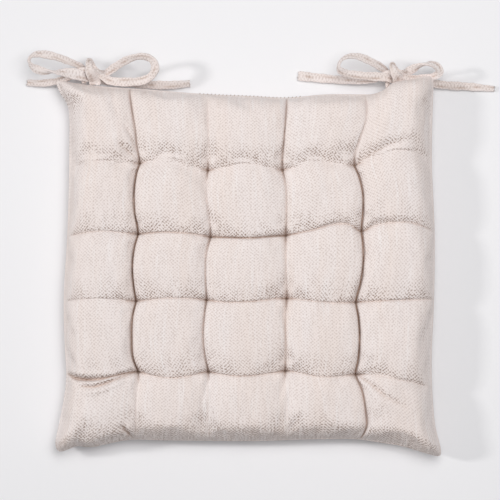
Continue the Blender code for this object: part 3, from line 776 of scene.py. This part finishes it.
sink += 0.9 * pucker * np.exp(-((rim_gap - 2.6) / 0.9) ** 2)
broad = np.sin(shaped_x / 9.1 + 1.7 * np.sin(shaped_y / 31)) * np.sin(shaped_y / 13 + shaped_x / 41)
tight = np.sin(shaped_x / 4.3 + shaped_y / 17) * np.sin(shaped_y / 6.1 + 2 * np.sin(shaped_x / 29))
ripple = 0.35 * broad + 0.22 * tight
shaped[:, 2] += np.where(on_top, -sink + ripple * inner, 0.0) * MILLIMETRE
set_positions(cover, shaped)
for polygon in cover.data.polygons:
    polygon.use_smooth = True
cover.data.materials.append(cloth_material("cover_cloth", 0.20, 0.36, 1.30, 0.30))
upright = np.empty(len(cover.data.vertices) * 3)
cover.data.vertices.foreach_get("normal", upright)
upright = upright.reshape(-1, 3)
ear_gap = np.hypot(np.abs(shaped_x) - FRONT_EAR[0], shaped_y - FRONT_EAR[1])
front_ear = np.exp(-(ear_gap / EAR_REACH) ** 2)
# Painted shade: slopes that face the front and the drooping front ears show more dark yarns and diagonals,
# standing for the shade that falls there.
painted_front_shade = np.clip(-2.0 * upright[:, 1] - 0.10 + 0.55 * front_ear, 0, 1) * on_top
cover.data.attributes.new("painted_front_shade", "FLOAT", "POINT").data.foreach_set("value", painted_front_shade)
painted_crease_shade = np.minimum(painted_crease_shade, 1.0) * on_top * np.clip(rim_gap - 1.5, 0, 1)
cover.data.attributes.new("painted_crease_shade", "FLOAT", "POINT").data.foreach_set("value", painted_crease_shade)
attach(cover, "pad")
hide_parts("top_panel", "bottom_panel")


# ---- filling ----
# Loose polyester fibre, blown into the bag before its back seam is closed; it thins out towards the seam and
# is pressed almost flat under each tuft.
FILLING_CELLS = 9  # mesh cells across one pillow
FILLING_EDGE = 12.0  # from the seam to the fibre's edge
FILLING_SHARE = 0.85

filling_places = np.clip(np.linspace(0, PILLOWS, PILLOWS * FILLING_CELLS + 1), 0.09, PILLOWS - 0.09)
fill_a, fill_b = np.meshgrid(filling_places, filling_places, indexing="ij")
fill_x, fill_y = plan(fill_a, fill_b)
fill_full = FILLING_SHARE * pillow_height(fill_a, fill_b, fill_x, fill_y) ** 2.8
fill_gaps = [gap - FILLING_EDGE for gap in rim_gaps(fill_x, fill_y)]
fill_top = SEAM_Z + 0.3 + TOP_CROWN * fill_full * rim_fall(fill_gaps, TOP_SIDE)
fill_bottom = SEAM_Z - 0.3 - BOTTOM_CROWN * fill_full * rim_fall(fill_gaps, BOTTOM_SIDE)
fibre_lumps = 0.5 * np.sin(fill_x / 3.7 + 2 * np.sin(fill_y / 9)) * np.sin(fill_y / 4.9 + fill_x / 23)
fill_top += fibre_lumps * (fill_top > SEAM_Z + 3)
filling = bag_mesh("filling", fill_x, fill_y, fill_top, np.maximum(fill_bottom, 2.0))
for polygon in filling.data.polygons:
    polygon.use_smooth = True

fibre = bpy.data.materials.new("polyester_fibre")
fibre.use_nodes = True
fibre_nodes, fibre_links = fibre.node_tree.nodes, fibre.node_tree.links
fibre_shader = fibre_nodes["Principled BSDF"]
fibre_shader.inputs["Roughness"].default_value = 0.95
fibre_shader.inputs["Sheen Weight"].default_value = 0.3
fibre_place = fibre_nodes.new("ShaderNodeTexCoord")
strands = fibre_nodes.new("ShaderNodeTexNoise")
strands.inputs["Scale"].default_value = 260
strands.inputs["Detail"].default_value = 5
strands.inputs["Distortion"].default_value = 2.5
fibre_links.new(fibre_place.outputs["Object"], strands.inputs["Vector"])
fibre_tint = fibre_nodes.new("ShaderNodeMix")
fibre_tint.data_type = "RGBA"
fibre_tint.inputs["A"].default_value = (0.72, 0.72, 0.71, 1)
fibre_tint.inputs["B"].default_value = (0.92, 0.92, 0.91, 1)
fibre_links.new(strands.outputs["Fac"], fibre_tint.inputs["Factor"])
fibre_links.new(fibre_tint.outputs["Result"], fibre_shader.inputs["Base Color"])
fibre_relief = fibre_nodes.new("ShaderNodeBump")
fibre_relief.inputs["Distance"].default_value = 0.0008
fibre_links.new(strands.outputs["Fac"], fibre_relief.inputs["Height"])
fibre_links.new(fibre_relief.outputs["Normal"], fibre_shader.inputs["Normal"])
filling.data.materials.append(fibre)
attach(filling, "pad")
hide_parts("fibre_filling")


# ---- sewing thread ----
# Two-ply polyester thread, twisted on the slant, a good deal darker than the cloth: partly its own tan and
# partly painted shade of the tuft dimples it sits in. The same thread sews the seams and the bartacks, and in
# a heavier size the tufts.
def thread_material():
    material = bpy.data.materials.new("sewing_thread")
    material.use_nodes = True
    nodes, links = material.node_tree.nodes, material.node_tree.links
    shader = nodes["Principled BSDF"]
    shader.inputs["Roughness"].default_value = 0.7
    shader.inputs["Sheen Weight"].default_value = 0.1
    place = nodes.new("ShaderNodeUVMap")
    place.uv_map = "ply"
    twist = nodes.new("ShaderNodeTexWave")
    twist.bands_direction = "DIAGONAL"
    twist.inputs["Scale"].default_value = 0.9
    twist.inputs["Distortion"].default_value = 0.6
    links.new(place.outputs["UV"], twist.inputs["Vector"])
    shade = nodes.new("ShaderNodeMix")
    shade.data_type = "RGBA"
    shade.inputs["A"].default_value = (0.30, 0.22, 0.165, 1)
    shade.inputs["B"].default_value = (0.56, 0.45, 0.36, 1)
    links.new(twist.outputs["Fac"], shade.inputs["Factor"])
    links.new(shade.outputs["Result"], shader.inputs["Base Color"])
    relief = nodes.new("ShaderNodeBump")
    relief.inputs["Distance"].default_value = 0.0002
    links.new(twist.outputs["Fac"], relief.inputs["Height"])
    links.new(relief.outputs["Normal"], shader.inputs["Normal"])
    return material


THREAD = thread_material()


def sewn(name, lines, radius, *cad_nodes, closed=False, sides=6):
    """Thread along lines of places in millimetres, as one piece that stands for the named CAD nodes."""
    mesh = bmesh.new()
    uv = mesh.loops.layers.uv.new("ply")
    angles = np.linspace(0, 2 * math.pi, sides, endpoint=False)
    for line in lines:
        line = np.array(line, dtype=float)
        heading = unit(np.gradient(line, axis=0))
        spare = np.where(np.abs(heading[:, 2:]) > 0.8, (1.0, 0.0, 0.0), (0.0, 0.0, 1.0))
        side = unit(np.cross(spare, heading))
        face = np.cross(heading, side)
        rings = []
        for k, place in enumerate(line):
            ring = [place + radius * (math.cos(t) * side[k] + math.sin(t) * face[k]) for t in angles]
            rings.append([mesh.verts.new(corner * MILLIMETRE) for corner in ring])
        last = len(rings) if closed else len(rings) - 1
        for k in range(last):
            ring, after = rings[k], rings[(k + 1) % len(rings)]
            for j in range(sides):
                j2 = (j + 1) % sides
                made = mesh.faces.new((ring[j], ring[j2], after[j2], after[j]))
                for loop, place in zip(made.loops, ((j, k), (j + 1, k), (j + 1, k + 1), (j, k + 1))):
                    loop[uv].uv = (place[0] / sides, place[1] * 0.5)
        if not closed:
            mesh.faces.new(rings[0][::-1])
            mesh.faces.new(rings[-1])
    bmesh.ops.recalc_face_normals(mesh, faces=mesh.faces)
    data = bpy.data.meshes.new(name)
    mesh.to_mesh(data)
    mesh.free()
    for polygon in data.polygons:
        polygon.use_smooth = True
    data.materials.append(THREAD)
    piece = bpy.data.objects.new(name, data)
    bpy.context.scene.collection.objects.link(piece)
    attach(piece, "pad")
    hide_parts(*cad_nodes)
    return piece


# ---- edge seam ----
# Lockstitch in polyester thread that joins the two panels before the bag is turned out, so it lies inside the
# knife edge. On a real pad it stops at the filling gap; here it is one ring that crosses the gap as well.
SEAM_IN = 1.1
STITCH = 2.6
rim_share = np.linspace(0, PILLOWS, 261)[:-1]
rim_places = [(share, 0.0) for share in rim_share] + [(PILLOWS, share) for share in rim_share]
rim_places += [(PILLOWS - share, PILLOWS) for share in rim_share]
rim_places += [(0.0, PILLOWS - share) for share in rim_share]
rim_a, rim_b = np.array(rim_places, dtype=float).T
rim_x, rim_y = plan(rim_a, rim_b)
rim_line = np.stack([rim_x, rim_y], axis=1)
rim_heading = unit(np.roll(rim_line, -1, axis=0) - np.roll(rim_line, 1, axis=0))
rim_line = rim_line + SEAM_IN * np.stack([-rim_heading[:, 1], rim_heading[:, 0]], axis=1)
rim_reach = np.cumsum(np.linalg.norm(np.roll(rim_line, -1, axis=0) - rim_line, axis=1))
rim_wave = SEAM_Z + 0.22 * np.sin(2 * math.pi * rim_reach / STITCH)
sewn("edge_seam_thread", [np.column_stack([rim_line, rim_wave])], 0.32, "edge_seam", closed=True)

# ---- closing seam ----
# The bag is filled through a gap in the middle of its back edge, which is then closed by hand with slip
# stitches over the edge.
CLOSING_HALF = 55.0
CLOSING_PITCH = 4.2
closing_stitches = []
for stitch_x in np.arange(-CLOSING_HALF, CLOSING_HALF, CLOSING_PITCH):
    edge_y = float(along_line(ROWS[-1], np.array(stitch_x)))
    closing_stitches.append([
        (stitch_x - 0.9, edge_y - 1.9, SEAM_Z + 1.25), (stitch_x - 0.4, edge_y - 0.6, SEAM_Z + 1.5),
        (stitch_x, edge_y + 0.35, SEAM_Z + 0.5), (stitch_x + 0.1, edge_y + 0.4, SEAM_Z - 0.5),
        (stitch_x + 0.5, edge_y - 0.6, SEAM_Z - 1.5), (stitch_x + 0.9, edge_y - 1.9, SEAM_Z - 1.25)])
sewn("closing_seam_thread", closing_stitches, 0.28, "closing_seam", sides=5)

# ---- tufts ----
# Heavy thread through the whole pad at each of sixteen places, pulled tight to draw the two panels together
# over the pressed fibre, and knotted above and below.
TUFT_THREAD = 0.45
KNOT_LOOP = 1.5


def cover_level(x, y, top):
    """Height of the cover's top or bottom at a place."""
    places = positions(cover) / MILLIMETRE
    level = places[(places[:, 2] > SEAM_Z) == top]
    return float(level[np.argmin(np.hypot(level[:, 0] - x, level[:, 1] - y)), 2])


def tuft_lines(x, y, high, low, turn):
    """A crossed knot on each side and the leg between them."""
    lines = [[(x, y, low - 0.2), (x, y, (low + high) / 2), (x, y, high + 0.2)]]
    for level, out in ((high, 1), (low, -1)):
        for angle in (turn, turn + 1.9):
            reach = [(-1.0, -0.5), (-0.5, 0.35), (0.0, 0.75), (0.5, 0.35), (1.0, -0.5)]
            lines.append([(x + KNOT_LOOP * t * math.cos(angle), y + KNOT_LOOP * t * math.sin(angle),
                           level + out * (rise + 0.5 * (angle > turn) * (1 - abs(t)))) for t, rise in reach])
    return lines


for index, (c, tuft_y) in enumerate(tuft_rows()):
    tuft_x = float(along_line(COLUMNS[c], np.array(tuft_y)))
    row_from_back = PILLOWS - 1 - index % (PILLOWS - 1)
    tuft_name = f"tuft_stitch_{row_from_back}{c}"
    high = cover_level(tuft_x, tuft_y, True)
    low = cover_level(tuft_x, tuft_y, False)
    knot_lines = tuft_lines(tuft_x, tuft_y, high, max(low, 0.8), 0.4 + 1.1 * index)
    sewn(tuft_name + "_thread", knot_lines, TUFT_THREAD, tuft_name)

# ---- bartacks ----
# Dense bars of zigzag stitches in the same thread, sewn by machine across each ribbon's root to fasten it in
# the back seam.
BARTACK_HALF = 3.4
for tie_node, bow, *_ in TIES:
    low_corner, high_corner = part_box(tie_node.replace("tie", "bartack"))
    bar_middle = (low_corner + high_corner) / 2 / MILLIMETRE
    bar_slope = 0.1334 * (-1 if bow == "right_bow" else 1)
    zigzag = [(bar_middle.x + t, bar_middle.y + bar_slope * -t + 0.55 * (-1) ** k, bar_middle.z + 0.35)
              for k, t in enumerate(np.linspace(-BARTACK_HALF, BARTACK_HALF, 27))]
    under = [(x, y, z - 0.7) for x, y, z in zigzag]
    sewn(tie_node.replace("tie", "bartack") + "_thread", [zigzag, under], 0.3,
         tie_node.replace("tie", "bartack"), sides=5)

# ---- floor and light ----
# A plain white surface in a soft studio: a broad light almost overhead, a little behind the pad and to its
# right, and a small low key from the left.
bpy.ops.mesh.primitive_plane_add(size=8, location=(0, 0, -0.0003))
floor = bpy.context.object
floor.name = "floor"
floor_finish = bpy.data.materials.new("floor")
floor_finish.use_nodes = True
floor_finish.node_tree.nodes["Principled BSDF"].inputs["Base Color"].default_value = (0.86, 0.86, 0.875, 1)
floor_finish.node_tree.nodes["Principled BSDF"].inputs["Roughness"].default_value = 0.8
floor.data.materials.append(floor_finish)


def area_light(name, place, aim, size, power, colour):
    lamp = bpy.data.lights.new(name, "AREA")
    lamp.shape = "RECTANGLE"
    lamp.size, lamp.size_y = size
    lamp.energy = power
    lamp.color = colour
    holder = bpy.data.objects.new(name, lamp)
    holder.location = place
    holder.rotation_euler = (Vector(aim) - Vector(place)).to_track_quat("-Z", "Y").to_euler()
    bpy.context.scene.collection.objects.link(holder)


area_light("overhead", (0.25, 0.30, 1.60), (0, 0.03, 0), (1.1, 0.9), 16.6, (1.0, 0.985, 0.98))
area_light("left_key", (-2.70, 0.36, 1.80), (0, 0.05, 0), (0.34, 0.34), 32.0, (1.0, 0.98, 0.97))
world = bpy.data.worlds.new("studio")
world.use_nodes = True
world.node_tree.nodes["Background"].inputs["Color"].default_value = (0.97, 0.98, 1.0, 1)
world.node_tree.nodes["Background"].inputs["Strength"].default_value = 0.31
bpy.context.scene.world = world
